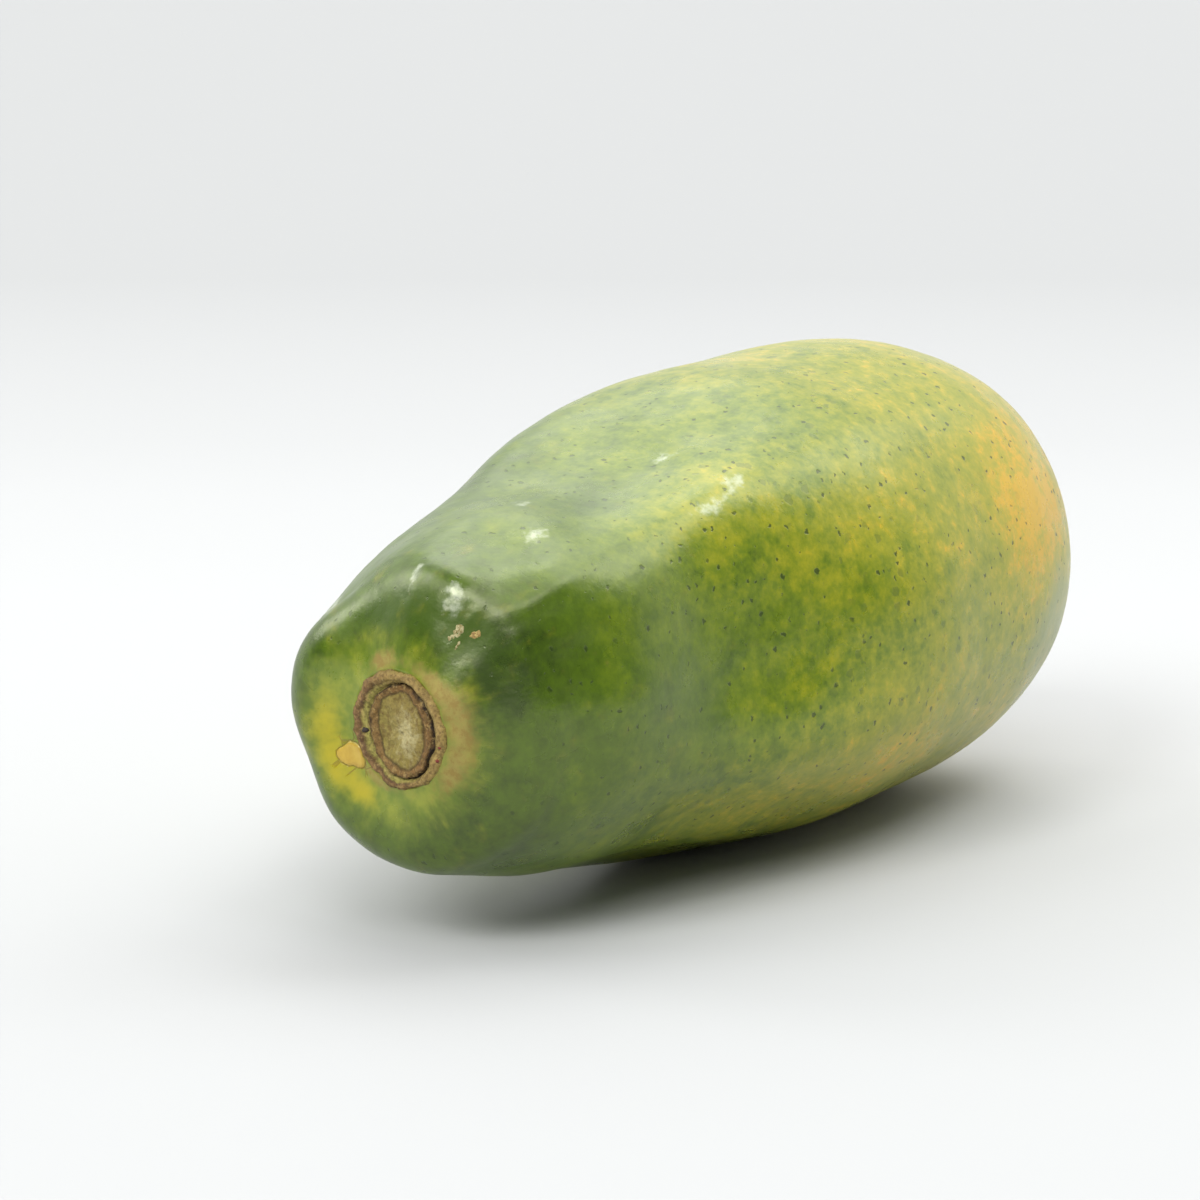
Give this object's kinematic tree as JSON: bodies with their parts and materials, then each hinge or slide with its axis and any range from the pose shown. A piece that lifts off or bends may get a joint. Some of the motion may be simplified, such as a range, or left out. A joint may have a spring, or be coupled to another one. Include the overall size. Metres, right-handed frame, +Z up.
{
  "type": "papaya",
  "caption": "Papaya lying on its side: a long fruit with soft lobes and a thick belly, a corky stem scar on its blunt narrow end, a small blossom tip, and a small flat spot it rests on.",
  "frame": {"origin": "middle of the bounding box footprint, on the plane the fruit rests on", "axes": "+X runs along the fruit from the stem scar to the blossom tip, +Z is up, +Y is across the fruit"},
  "size_m": [0.2522, 0.1264, 0.1173],
  "materials": {
    "fruit_skin": "smooth waxy skin, green turning yellow and orange",
    "stem_scar": "dry brown cork"
  },
  "bodies": {
    "root": {"papaya": "fruit_skin"}
  },
  "joints": []
}
